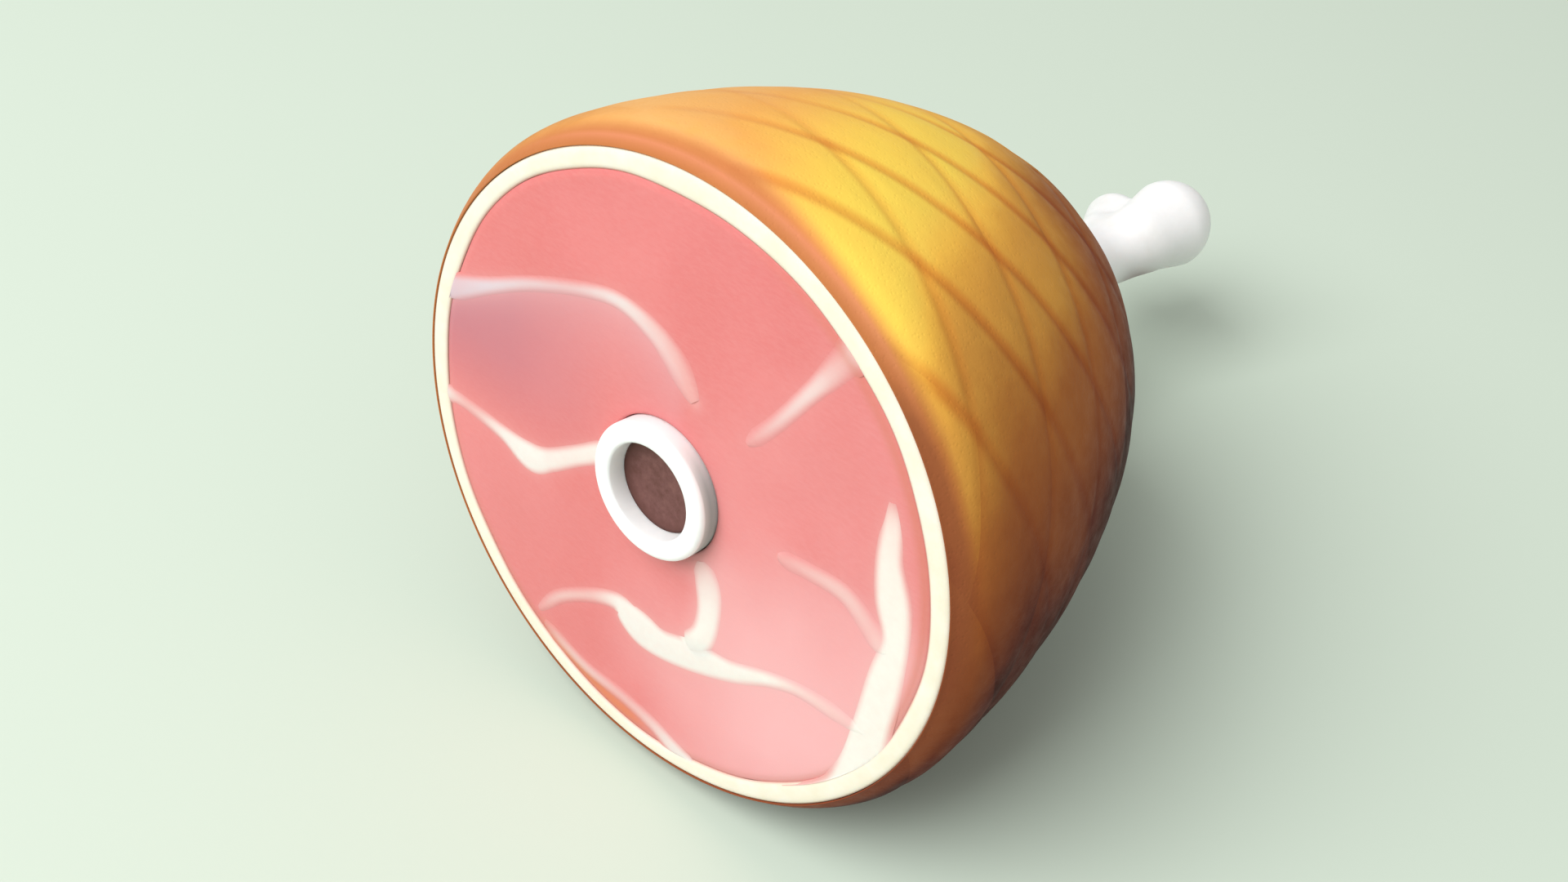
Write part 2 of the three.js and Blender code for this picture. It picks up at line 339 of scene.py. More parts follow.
rindLook = {
    "columns": 480,
    "rowsAlong": 158,
    "mouthRadius": 27 * mm,
    "lipRound": 1.5 * mm,
    "edgeRound": 0.22 * mm,
    "mouthWaves": [(3, 0.5, 0.4), (5, 0.35, 2.0), (9, 0.2, 1.1)],
    "slantTurns": 10,  # score lines of one hand round the ham
    "slantSpacing": 26.7 * mm,
    "slantPhase": 0.488,
    "crossTurns": 5,  # and of the other hand
    "crossSpacing": 30.4 * mm,
    "crossPhase": 0.090,
    "slopeRadius": 96 * mm,  # where the slant of the lines is taken
    "handWobble": 1.6 * mm,
    "scoreWidth": 1.8 * mm,
    "scoreDepth": 0.27 * mm,
    "cushion": 0.35 * mm,  # how far a diamond swells between its cuts
    "cushionReach": 9 * mm,
    "scoreStart": (3.0, 5),  # mm behind the rim, and the length they fade in over
    "scoreStartUpperLeft": 9,  # mm more of both there
    "faintFrom": 76,  # degrees; scoreFade goes round from here
    "scoreFade": ((-180, -105, -52, -34, 6, 20, 60, 90, 180), (1, 0.75, 0.5, 1, 1, 0.3, 0.3, 1, 1)),
    "stainStrengths": (0.42, 0.25),  # how dark the two hands' lines are
    "stainReach": (0.2 * mm, 3.5 * mm),
    "stainColour": "#d06a58",
    # the golden ridge: mm along the ham, and its place in degrees
    "ridge": ((7, 22, 50, 100), (60, 69, 75, 86)),
    # how brown the skin is: degrees down the side from the ridge, right and left of it; on the right this is
    # smoke browning and painted shade together
    "browningAndShade": ((0, 6, 14, 22, 32, 42, 52, 62, 75, 92, 180),
                 (0.02, 0.05, 0.24, 0.42, 0.50, 0.62, 0.71, 0.83, 0.96, 1.0, 1.0)),
    "browningLeft": ((0, 20, 45, 80, 130, 180), (0.02, 0.08, 0.22, 0.50, 0.85, 0.96)),
    "shankBrowning": 0.34,
    # the band along the rim: degrees round from the upper right, with its width in mm and its browning, which
    # is partly painted shade, darkest down the lower right
    "rimFrom": 60,
    "rimWidth": ((-180, -30, 0, 25, 45, 80, 180), (3.4, 3.4, 3.6, 6.2, 5.2, 4.2, 3.4)),
    "rimBrowningAndShade": ((-180, -120, -60, -30, -12, -5, 5, 10, 20, 32, 60, 90, 180),
                    (0.5, 0.3, 0.26, 0.24, 0.14, 0.08, 0.22, 0.42, 0.64, 0.76, 0.86, 0.92, 0.5)),
    "crestHighlightAt": 2.1 * mm,  # a painted highlight: a paler line along the rolled edge, over the top of the cut
    "crestHighlightWidth": 0.9 * mm,
    "crestHighlightColour": "#e39171",
    # skin from pale to deeply smoked, its dark end also carrying painted shade, on the ridge's right, on its
    # left, and along the rim
    "golden": [(0.0, "#ffdc5c"), (0.12, "#ffd25a"), (0.20, "#fec653"), (0.28, "#edb04b"), (0.36, "#e3a448"),
               (0.44, "#d59845"), (0.52, "#c1803b"), (0.60, "#b06b35"), (0.68, "#a35d31"), (0.76, "#94502d"),
               (0.84, "#834226"), (0.92, "#662c1e"), (1.0, "#431813")],
    "orange": [(0.0, "#fbbb59"), (0.1, "#f3b15d"), (0.18, "#edb36c"), (0.32, "#e2a25a"), (0.5, "#c28045"),
               (0.7, "#a05f35"), (0.86, "#854527"), (1.0, "#5c271c")],
    "rim": [(0.0, "#da8550"), (0.12, "#d68450"), (0.25, "#c67d4a"), (0.42, "#be7645"), (0.54, "#b66f41"),
            (0.66, "#9d5d39"), (0.77, "#985735"), (0.86, "#8c4b30"), (1.0, "#743827")],
}


# Distance to the nearest knife line on each hand, and a random number for each diamond.
def scoreLattice(tree, along, around, position):
    look = rindLook
    lean = doMath(tree, "SUBTRACT", addNoise(tree, position, 22.0, 1.0), 0.5)
    place = doMath(tree, "ADD", along, doMath(tree, "MULTIPLY", lean, 2 * look["handWobble"]))
    distances = []
    cells = []
    for hand, side in (("slant", 1), ("cross", -1)):
        turns = look[hand + "Turns"]
        spacing = look[hand + "Spacing"]
        climbed = doMath(tree, "DIVIDE", place, spacing)
        turned = doMath(tree, "MULTIPLY", around, side * turns)
        count = doMath(tree, "ADD", doMath(tree, "ADD", climbed, turned), look[hand + "Phase"])
        centred = doMath(tree, "SUBTRACT", doMath(tree, "FRACT", count), 0.5)
        near = doMath(tree, "SUBTRACT", 0.5, doMath(tree, "ABSOLUTE", centred))
        # across the line, less than along the ham because the line runs at a slant
        lineRise = spacing * turns / (2 * math.pi * look["slopeRadius"])
        distances.append(doMath(tree, "MULTIPLY", near, spacing * math.cos(math.atan(lineRise))))
        cells.append(doMath(tree, "FLOORED_MODULO", doMath(tree, "FLOOR", count), turns))
    corner = addNode(tree, "ShaderNodeCombineXYZ", {0: cells[0], 1: cells[1], 2: 7.0})
    chance = addNode(tree, "ShaderNodeTexWhiteNoise", {"Vector": corner})
    return distances, chance.outputs["Value"]


# Cuts the diamond scoring into the skin.
def scoringTree(material):
    tree, sockets = newGeometryTree("scoreTheRind", ("Score width", "Score depth", "Cushion"))
    given = addNode(tree, "NodeGroupInput")
    along, around, outside = (
        addNode(tree, "GeometryNodeInputNamedAttribute", {"Name": name}, data_type="FLOAT")
        for name in ("along", "around", "outside")
    )
    position = addNode(tree, "GeometryNodeInputPosition")
    distances, _ = scoreLattice(tree, along, around, position)
    nearest = doMath(tree, "MINIMUM", *distances)
    cut = remap(tree, nearest, 0.0, given.outputs["Score width"], 1.0, 0.0, "SMOOTHERSTEP")
    swell = remap(tree, nearest, 0.0, rindLook["cushionReach"], ease="SMOOTHSTEP")
    down = doMath(tree, "MULTIPLY", cut, given.outputs["Score depth"])
    rise = doMath(tree, "MULTIPLY", swell, given.outputs["Cushion"])
    height = doMath(tree, "MULTIPLY", doMath(tree, "SUBTRACT", rise, down), outside)
    normal = addNode(tree, "GeometryNodeInputNormal")
    move = addNode(tree, "ShaderNodeVectorMath", {0: normal, "Scale": height}, operation="SCALE")
    moved = addNode(tree, "GeometryNodeSetPosition", {"Geometry": given, "Offset": move})
    endGeometryTree(tree, moved, material)
    return tree, sockets


def rindMaterial():
    # Smoked pork skin: golden where the smoke caught it, brown to the sides and shank and darker with painted
    # shade down its right side, with a painted highlight on the rolled edge, darker knife lines, pores, and a
    # soft fat gloss.
    look = rindLook
    material, tree, place = newMaterial("smokedPorkSkin")
    smokeAndShade, amber, rim, crestHighlight, outside = (
        readNumber(tree, name) for name in ("smokeAndShade", "amber", "rim", "crestHighlight", "outside")
    )
    skinMap = addNode(tree, "ShaderNodeUVMap", uv_map="skinMap")
    parts = addNode(tree, "ShaderNodeSeparateXYZ", {0: skinMap})
    distances, chance = scoreLattice(tree, parts.outputs[1], parts.outputs[0], place)
    blotch = addNoise(tree, place, 38.0, 3.0, 0.55)
    mottle = addNoise(tree, place, 210.0, 4.0, 0.6)
    tone = smokeAndShade
    for patch, share in ((chance, 0.10), (blotch, 0.18), (mottle, 0.06)):
        tone = doMath(tree, "MULTIPLY_ADD", patch, share, tone)
    tone = doMath(tree, "SUBTRACT", tone, 0.17)  # half of what the three patches add
    golden, orange, edge = (addRamp(tree, tone, look[name]) for name in ("golden", "orange", "rim"))
    colour = mixColour(tree, rim, mixColour(tree, amber, golden, orange), edge)
    colour = mixColour(tree, crestHighlight, colour, look["crestHighlightColour"])
    for distance, strength in zip(distances, look["stainStrengths"]):
        line = remap(tree, distance, *look["stainReach"], strength, 0.0, "SMOOTHSTEP")
        kept = doMath(tree, "MULTIPLY", line, outside)
        colour = mixColour(tree, kept, colour, look["stainColour"], "MULTIPLY")
    # pores about 1.3 mm apart, and fine wrinkles
    pores = addNode(tree, "ShaderNodeTexVoronoi", {"Vector": place, "Scale": 780.0})
    pit = remap(tree, pores.outputs["Distance"], 0.0, 0.42, ease="SMOOTHSTEP")
    wrinkle = addNoise(tree, place, 320.0, 5.0, 0.62)
    bump = addBump(tree, wrinkle, 0.35, 0.35 * mm, addBump(tree, pit, 0.22, 0.25 * mm))
    rough = remap(tree, mottle, 0.3, 0.7, 0.4, 0.58)
    addSurface(tree, colour, rough, bump, 0.04, 1.44)
    return material


# The closed outline of the skin: radius, y, depth under the surface, and 1 where it shows.
def rindProfile():
    look = rindLook
    s = hamShape
    lip = look["lipRound"]
    mouthY = outlineReaches(look["mouthRadius"] + 1.6 * lip)
    rimAngle = np.radians([180, 215, 245, 270, 295])
    rimR = outlineRadius(0) - s["rimBevel"] - 0.10 * mm + look["edgeRound"] * np.cos(rimAngle)
    rimY = 0.05 * mm + look["edgeRound"] * np.sin(rimAngle)
    sideR, sideY = outlineRun(0.12 * mm, mouthY, 0.0, look["rowsAlong"])
    sideR = sideR - rimTaper(sideY)
    turn = np.radians(np.linspace(20, 190, 7))
    lipR = look["mouthRadius"] + lip * 1.05 + lip * np.cos(turn)
    lipY = mouthY - 0.75 * lip + lip * np.sin(turn)
    innerEnd = outlineReaches(look["mouthRadius"] + 2 * mm, s["rindThickness"])
    inR, inY = outlineRun(0.8 * mm, innerEnd, s["rindThickness"], 12)
    radius = np.concatenate([rimR, sideR, lipR, inR[::-1]])
    y = np.concatenate([rimY, sideY, lipY, inY[::-1]])
    lengths = (len(rimR), len(sideR), len(lipR), len(inR))
    depth = np.repeat([0, 0, 0, s["rindThickness"]], lengths)
    shows = np.repeat([0, 1, 0, 0], lengths)
    return radius, y, depth, shows


# How much of a knife line is left: all of it on the open skin, none at the rim, mouth and board.
def scoreShare(degrees, along, shows, height):
    look = rindLook
    # the lines stop short of the rim, and further short of it at the upper left
    upperLeft = smoothStep(88, 112, degrees) * (1 - smoothStep(150, 190, degrees))
    more = look["scoreStartUpperLeft"] * upperLeft
    start = (look["scoreStart"][0] + more) * mm
    share = smoothStep(start, start + (look["scoreStart"][1] + more) * mm, along)
    share = share * shows * (1 - smoothStep(140 * mm, 156 * mm, along))
    share = share * smoothStep(0.4 * mm, 3.0 * mm, height)
    # and they are faint on the shoulder just past the golden ridge, and down the browned side
    return share * np.interp(degreesFrom(look["faintFrom"], degrees), *look["scoreFade"])


# Where the skin is smoked, orange, browned along the rim and pale on its crest. Down the right side and the
# rim's lower right the browning is partly painted shade, and the pale crest is a painted highlight.
def paintRind(mesh, degrees, along):
    look = rindLook
    ridge, places = look["ridge"]
    off = degreesFrom(np.interp(along, np.multiply(ridge, mm), places), degrees)
    # right of the ridge the skin darkens with smoke browning and painted shade together
    right = np.interp(-off, *look["browningAndShade"])
    left = np.interp(off, *look["browningLeft"])
    side = np.where(off < 0, right, left)
    shank = look["shankBrowning"] * smoothStep(70 * mm, 125 * mm, along)
    fromRight = degreesFrom(look["rimFrom"], degrees)
    band = np.interp(fromRight, *look["rimWidth"]) * mm
    rim = 1 - smoothStep(band - 2.4 * mm, band + 3.0 * mm, along)
    # the rim band browns and takes painted shade, darkest down the lower right
    rimTone = np.interp(-fromRight, *look["rimBrowningAndShade"])
    # painted shade along the cut edge: the rim band darkens within 3 mm of the cut
    rimTone = rimTone + 0.22 * (1 - smoothStep(0.3 * mm, 3.2 * mm, along)) * (1 - rimTone)
    # a painted highlight along the crest of the rolled edge
    crestHighlight = np.exp(-(((along - look["crestHighlightAt"]) / look["crestHighlightWidth"]) ** 2))
    crestHighlight = 0.5 * crestHighlight * smoothStep(36, 62, degrees) * smoothStep(135, 105, degrees)
    storeNumber(mesh, "amber", smoothStep(4, 26, off) * (1 - 0.35 * smoothStep(60, 120, off)))
    storeNumber(mesh, "rim", rim)
    storeNumber(mesh, "crestHighlight", crestHighlight)
    # the stored tone is smoke browning with painted shade down the right side and along the rim's lower right
    storeNumber(mesh, "smokeAndShade", (side + shank * (1 - 0.7 * side)) * (1 - rim) + rimTone * rim)


def buildRind(material):
    look = rindLook
    radius, y, depth, shows = rindProfile()
    angle = roundAngles(look["columns"])
    grid = ringsFrom(zip(radius, y, np.zeros(len(y))), look["columns"])
    ragged = smoothStep(150 * mm, 160 * mm, y)[:, None] * waves(angle, look["mouthWaves"])
    grid[..., 0] += ragged * np.cos(angle)
    grid[..., 2] += ragged * np.sin(angle)
    placed = layDown(grid, depth[:, None])
    mesh = meshFromRings("rindShape", placed, mapAlong=y)
    along = np.broadcast_to(y[:, None], grid.shape[:2])
    degrees = np.degrees(angle)[None, :]
    storeNumber(mesh, "along", along)
    storeNumber(mesh, "around", np.broadcast_to(angle / (2 * math.pi), grid.shape[:2]))
    storeNumber(mesh, "outside", scoreShare(degrees, along, shows[:, None], placed[..., 2]))
    paintRind(mesh, degrees, along)
    tree, sockets = scoringTree(material)
    scored = throughTree(
        mesh, "scoredRind", tree, sockets, (look["scoreWidth"], look["scoreDepth"], look["cushion"]))
    newPiece("scoredRind", scored, material, "rind")


faceLook = {
    "ringInner": 86.5 * mm,  # where the fat ring meets the lean
    "ringWaves": [(3, 0.45, 0.8), (5, 0.35, 2.9), (11, 0.18, 0.3), (17, 0.10, 1.7)],
    "relief": 0.12 * mm,
}


# The slight swell of the muscles on the cut face; the strands follow it.
def faceRelief(x, z):
    return faceLook["relief"] * (
        np.sin(x * 105 + 0.4) * np.cos(z * 88 + x * 30) + 0.6 * np.sin(z * 170 - x * 60))


def ringInnerEdge(angle):
    return faceLook["ringInner"] + waves(angle, faceLook["ringWaves"])


# Strands of fat between the muscles. Each bend has its x and z on the cut face and the half
# width there, in mm, and how white the strand is there. Cool is its tint at its two ends.
seamLook = {
    "depth": 2.5 * mm,
    "mound": 0.30 * mm,  # how far the middle of a strand stands above its edges
    "lift": 0.07 * mm,
    "steps": 150,
    "thinSteps": 14,  # a strand thins out over so many at its ends
    "spread": 1.4 * mm,  # how far a strand thins out past its half width
    "warmFat": "#f0ebe2",
    "coolFat": "#d3c8d5",
    "speckColour": "#e5bcb4",
    "strands": {
        "seamFatTop": {"node": "seam_fat_top", "cool": (1.0, 0.1), "lines": [[
            (-89, 20.0, 3.4, 0.85), (-82, 23.4, 3.0, 0.68), (-68, 30.6, 1.6, 0.85), (-53, 38.4, 1.3, 0.62),
            (-36, 45.3, 1.3, 0.46), (-21, 49.1, 1.6, 0.82), (-8.5, 46.9, 2.6, 0.5), (1, 41.6, 3.6, 0.22),
            (8.5, 34.0, 4.0, 0.06)]]},
        "seamFatLeft": {"node": "seam_fat_left", "cool": (0.2, 0.1), "lines": [[
            (-89, -14.6, 2.6, 0.95), (-81, -13.8, 1.8, 0.38), (-72.6, -14.1, 1.8, 0.34),
            (-61, -15.1, 2.1, 0.88), (-50, -16.7, 4.3, 1.0), (-41.9, -13.3, 3.0, 0.9),
            (-32, -6.3, 2.5, 0.88), (-22, 0.8, 2.6, 0.9), (-17, 4, 2.4, 0.8)]]},
        "seamFatUpperRight": {"node": "seam_fat_upper_right", "cool": (0.2, 0.4), "lines": [[
            (55.2, 75.5, 5.0, 0.6), (51.2, 69.3, 3.6, 0.15), (47, 62.5, 2.6, 0.36), (42.7, 55.6, 1.7, 0.66),
            (34.2, 42.0, 1.4, 0.44), (26.3, 31.4, 1.4, 0.06)]]},
        "seamFatLower": {"node": "seam_fat_lower", "cool": (0.2, 0.0), "lines": [
            [(-43, -70, 2.0, 0.06), (-34.4, -59.2, 1.4, 0.4), (-21.4, -50.0, 1.7, 0.38),
             (-11.5, -46.0, 2.5, 0.9), (-6.5, -48.0, 4.9, 1.0), (-1, -49.3, 6.0, 1.0), (7.5, -49.2, 4.8, 1.0),
             (19.2, -45.2, 4.8, 1.0), (31.6, -41.4, 2.9, 1.0), (43.6, -35.2, 1.7, 0.98),
             (53.4, -31.7, 1.4, 0.48), (65, -30.8, 2.0, 0.25), (75, -31, 2.2, 0.1)],
            [(16.5, -12.5, 3.2, 0.05), (19.8, -19.2, 4.2, 0.6), (21.3, -27.8, 3.5, 0.93),
             (20.4, -36.3, 3.4, 1.0), (16.5, -43.5, 4.0, 0.95)]]},
        "seamFatSmallRight": {"node": "seam_fat_small_right", "cool": (0.2, 0.1), "lines": [[
            (40.6, 5.0, 1.8, 0.06), (51.3, 6.6, 1.8, 0.26), (61.9, 6.8, 2.2, 0.33), (70.5, 1.8, 2.6, 0.2),
            (76, -2.5, 3.0, 0.3)]]},
        "seamFatRight": {"node": "seam_fat_right", "cool": (0.0, 0.0), "lines": [[
            (69.4, 39.5, 2.2, 0.0), (70.7, 33.3, 2.5, 0.68), (71.9, 23.5, 3.2, 0.87), (75.3, 12.8, 4.5, 0.95),
            (78.2, 2.1, 3.4, 1.0), (77.6, -10.7, 4.5, 1.0), (76.9, -23.5, 4.8, 1.0), (75.8, -38.0, 5.4, 1.0),
            (73.6, -47.5, 4.2, 1.0), (70.2, -55, 3.0, 1.0), (64.6, -62, 2.6, 1.0), (56, -69.5, 2.2, 1.0)]]},
        "seamFatLowLeft": {"node": "seam_fat_low_left", "cool": (0.5, 0.2), "lines": [[
            (-40.5, -73.4, 2.0, 0.0), (-32, -76.5, 1.8, 0.4), (-21.4, -79.1, 1.7, 0.46),
            (-6.4, -79.4, 1.8, 0.3), (6.4, -81.4, 2.1, 0.46), (14, -84.0, 2.4, 0.8),
            (23, -86.2, 2.6, 0.95)]]},
    },
}

# How the lean's colour changes over the cut face. Places are in mm and degrees.
muscleLook = {
    "acrossAt": (-60, -20, 0, 12, 24, 36, 48, 60, 76),
    "rows": {  # height on the face: how pale the lean is at each place across
        60: (0, 0, 0, 0, 0, 0.02, 0.08, 0.12, 0.12),
        36: (0, 0, 0, 0.04, 0.08, 0.14, 0.14, 0.12, 0.12),
        12: (0, 0, 0.04, 0.10, 0.17, 0.14, 0.10, 0.20, 0.20),
        0: (0, 0, 0.05, 0.12, 0.18, 0.31, 0.46, 0.54, 0.60),
        -12: (0.05, 0, 0.10, 0.30, 0.54, 0.52, 0.70, 0.62, 0.70),
        -24: (0.09, 0.02, 0.03, 0.06, 0.60, 0.75, 0.79, 0.75, 0.75),
        -36: (0.09, 0.02, 0.20, 0.25, 0.70, 0.85, 0.87, 0.87, 0.85),
        -48: (0.09, 0.02, 0.20, 0.40, 0.60, 0.80, 0.89, 0.89, 0.83),
        -60: (0.09, 0.02, 0.29, 0.48, 0.56, 0.75, 0.85, 0.77, 0.70),
        -76: (0.09, 0.02, 0.02, 0.25, 0.45, 0.60, 0.55, 0.60, 0.60),
    },
    "mauveAcross": ((-84, -60, -48, -36, -20), (1.0, 0.85, 0.6, 0.38, 0.04)),
    "mauveUp": ((-12, 0, 12, 24, 40), (0.0, 0.45, 0.85, 1.0, 1.0)),
    "haloReach": ((-84, -50, -20), (4.5, 8, 14)),  # how far the bloom under the top strand reaches
    "flushReach": 1.5 * mm,  # and the pale edge beside every strand
    "ringEdgeShadeAt": 85.4 * mm,  # painted shade: a darker line of lean beside the fat ring
    "ringEdgeShadeWidth": 1.7 * mm,
    "ringEdgeShadeRound": ((-180, -150, -120, -100, -60, -10, 30, 60, 80, 180),
                   (0, 0.3, 0.6, 0.6, 0.3, 0.9, 1, 0.8, 0.1, 0)),
    "stainAt": 84.3 * mm,  # brown stain at the bottom, from the brine
    "stainWidth": 2.6 * mm,
    "base": [(0.30, "#dc7b79"), (0.5, "#de7e7d"), (0.70, "#e28483")],
    "grainColour": "#eaa5a0",
    "tints": {  # how much of each at the most, and its colour
        "pale": (1.0, "#f1b8b9"),
        "mauve": (0.95, "#be7984"),
        "halo": (0.75, "#dfa6aa"),
        "flush": (0.40, "#eab5b0"),
        "ringEdgeShade": (0.62, "#cf7c68"),
        "stain": (0.78, "#dc8254"),
    },
}


# A smooth run through the bends at even steps: x, z, half width and whiteness.
def smoothLine(bends, count):
    bends = np.array(bends, float)
    bends[:, :3] *= mm
    ends = np.vstack([2 * bends[0] - bends[1], bends, 2 * bends[-1] - bends[-2]])
    t = np.linspace(0, 1, 24, endpoint=False)[:, None]
    run = []
    for a, b, c, d in zip(ends, ends[1:], ends[2:], ends[3:]):
        run.append(0.5 * (2 * b + (c - a) * t + (2 * a - 5 * b + 4 * c - d) * t**2
                          + (3 * b - a - 3 * c + d) * t**3))
    run = np.vstack([*run, bends[-1:]])
    length = np.concatenate([[0], np.cumsum(np.hypot(*np.diff(run[:, :2], axis=0).T))])
    even = np.linspace(0, length[-1], count)
    return np.stack([np.interp(even, length, run[:, i]) for i in range(4)], -1)


# The strands at points of the face: how white, how cool, and how far off the nearest edge is.
def strandsAt(x, z):
    white = np.zeros(len(x))
    cool = np.zeros(len(x))
    nearest = np.full(len(x), 1.0)
    spread = seamLook["spread"]
    for strand in seamLook["strands"].values():
        for bends in strand["lines"]:
            run = smoothLine(bends, seamLook["steps"])
            tints = np.linspace(*strand["cool"], len(run))
            for (px, pz, half, whiteness), tint in zip(run, tints):
                away = np.hypot(x - px, z - pz) - half
                here = smoothStep(spread, -spread, away) * whiteness
                cool = np.where(here > white, tint, cool)
                white = np.maximum(white, here)
                nearest = np.minimum(nearest, away + (1 - whiteness) * 3 * mm)
    return white, cool, nearest


# The table in muscleLook, read between its rows and columns.
def paleness(x, z):
    rows = sorted(muscleLook["rows"].items())
    heights = np.array([height for height, _ in rows]) * mm
    columns = np.array(muscleLook["acrossAt"]) * mm
    across = np.stack([np.interp(x, columns, values) for _, values in rows])
    place = np.interp(z, heights, np.arange(len(heights)))
    low = np.minimum(place.astype(int), len(heights) - 2)
    point = np.arange(len(x))
    share = place - low
    return across[low, point] * (1 - share) + across[low + 1, point] * share


# Where the face is fat, mauve, pale, flushed or stained, and where painted shade darkens it beside the fat
# ring, stored for its two materials.
def paintFace(mesh):
    look = muscleLook
    x, z = standUp(readPoints(mesh))
    top = smoothLine(seamLook["strands"]["seamFatTop"]["lines"][0], 80)
    below = np.interp(x, top[:, 0], top[:, 1]) - z
    under = smoothStep(-1.5 * mm, 1.5 * mm, below) * smoothStep(8 * mm, 0, x)
    mauve = np.interp(x / mm, *look["mauveAcross"]) * np.interp(z / mm, *look["mauveUp"])
    haloReach = np.interp(x / mm, *look["haloReach"]) * mm
    white, cool, nearest = strandsAt(x, z)
    radius = np.hypot(x, z)
    around = np.degrees(np.arctan2(z, x))
    # painted shade: a thin darker line of lean along the fat ring
    ringEdgeShade = np.exp(-(((radius - look["ringEdgeShadeAt"]) / look["ringEdgeShadeWidth"]) ** 2))
    stain = np.exp(-(((radius - look["stainAt"]) / look["stainWidth"]) ** 2))
    painted = {
        "cover": white,
        "cool": cool,
        "mauve": under * mauve,
        "halo": under * np.exp(-np.maximum(below, 0) / haloReach),
        "pale": paleness(x, z),
        "flush": np.exp(-np.maximum(nearest, 0) / look["flushReach"]),
        "ringEdgeShade": ringEdgeShade * np.interp(around, *look["ringEdgeShadeRound"]),
        "stain": stain * smoothStep(-122, -110, around) * smoothStep(-84, -94, around),
    }
    for name, values in painted.items():
        storeNumber(mesh, name, values)


# The lean's own colour: cured pink with fibres, then its tints one over another.
def leanColour(tree, place):
    look = muscleLook
    cloud = addNoise(tree, place, 26.0, 2.0)
    stretch = {"Vector": place, "Rotation": (0, 0.5, 0), "Scale": (420.0, 420.0, 1300.0)}
    fibre = addNoise(tree, addNode(tree, "ShaderNodeMapping", stretch), 1.0, 3.0, 0.6)
    grain = remap(tree, fibre, 0.35, 0.7, 0.0, 0.16)
    colour = mixColour(tree, grain, addRamp(tree, cloud, look["base"]), look["grainColour"])
    for name, (share, tint) in look["tints"].items():
        amount = doMath(tree, "MULTIPLY", readNumber(tree, name), share)
        colour = mixColour(tree, amount, colour, tint)
    return colour, fibre


def leanMaterial():
    # Moist cured pork: translucent, so light sinks in a little, with fine fibres cut across.
    material, tree, place = newMaterial("curedLeanPork")
    colour, fibre = leanColour(tree, place)
    bump = addBump(tree, fibre, 0.18, 0.2 * mm)
    rough = remap(tree, fibre, 0.3, 0.7, 0.42, 0.54)
    addSurface(tree, colour, rough, bump, 0.2, 1.4, (0.12, (1.0, 0.35, 0.25), 2.5 * mm))
    return material


def seamMaterial():
    # Soft fat between the muscles: white in the middle, thinning to the lean at its sides.
    look = seamLook
    material, tree, place = newMaterial("softSeamFat")
    lean, fibre = leanColour(tree, place)
    fat = mixColour(tree, readNumber(tree, "cool"), look["warmFat"], look["coolFat"])
    speck = remap(tree, addNoise(tree, place, 340.0, 3.0), 0.3, 0.75, 0.0, 0.12)
    fat = mixColour(tree, speck, fat, look["speckColour"])
    colour = mixColour(tree, readNumber(tree, "cover"), lean, fat)
    bump = addBump(tree, fibre, 0.15, 0.2 * mm)
    addSurface(tree, colour, 0.46, bump, 0.3, 1.4, (0.12, (1.0, 0.45, 0.35), 2.5 * mm))
    return material


# Sweeps a low mound along a strand's line, as wide as the line's own radius says.
def seamTree(material):
    tree, sockets = newGeometryTree("layTheSeams", ("Mound", "Depth"))
    given = addNode(tree, "NodeGroupInput")
    line = addNode(tree, "GeometryNodeSetCurveNormal", {"Curve": given}, mode="Z_UP")
    circle = addNode(tree, "GeometryNodeCurvePrimitiveCircle", {"Resolution": 40, "Radius": 1.0})
    # the upper half of the circle becomes a hill, and every point keeps its height on it
    parts = addNode(tree, "ShaderNodeSeparateXYZ", {0: addNode(tree, "GeometryNodeInputPosition")})
    across, up = parts.outputs[0], parts.outputs[1]
    hill = doMath(tree, "SUBTRACT", 1.0, doMath(tree, "MULTIPLY", across, across))
    upper = doMath(tree, "GREATER_THAN", up, 0.0)
    height = addNode(tree, "ShaderNodeMix", {"Factor": upper, 2: up, 3: hill}, data_type="FLOAT")
    bent = addNode(tree, "ShaderNodeCombineXYZ", {0: across, 1: height, 2: 0.0})
    section = addNode(tree, "GeometryNodeSetPosition", {"Geometry": circle, "Position": bent})
    marked = addNode(
        tree, "GeometryNodeStoreNamedAttribute", {"Geometry": section, "Name": "swell", "Value": hill},
        data_type="FLOAT", domain="POINT")
    radius = addNode(tree, "GeometryNodeInputRadius")
    swept = addNode(
        tree, "GeometryNodeCurveToMesh",
        {"Curve": line, "Profile Curve": marked, "Scale": radius, "Fill Caps": True})
    smooth = addNode(tree, "GeometryNodeSetShadeSmooth", {"Geometry": swept})
    # the wide strands stay as low as the narrow ones
    axes = addNode(tree, "ShaderNodeSeparateXYZ", {0: addNode(tree, "GeometryNodeInputPosition")})
    isTop = doMath(tree, "GREATER_THAN", axes.outputs[2], 0.0)
    swell = addNode(tree, "GeometryNodeInputNamedAttribute", {"Name": "swell"}, data_type="FLOAT")
    topZ = doMath(tree, "MULTIPLY", swell, given.outputs["Mound"])
    lowZ = doMath(tree, "MULTIPLY", given.outputs["Depth"], -1.0)
    newZ = addNode(tree, "ShaderNodeMix", {"Factor": isTop, 2: lowZ, 3: topZ}, data_type="FLOAT")
    level = addNode(tree, "ShaderNodeCombineXYZ", {0: axes.outputs[0], 1: axes.outputs[1], 2: newZ})
    settled = addNode(tree, "GeometryNodeSetPosition", {"Geometry": smooth, "Position": level})
    endGeometryTree(tree, settled, material)
    return tree, sockets


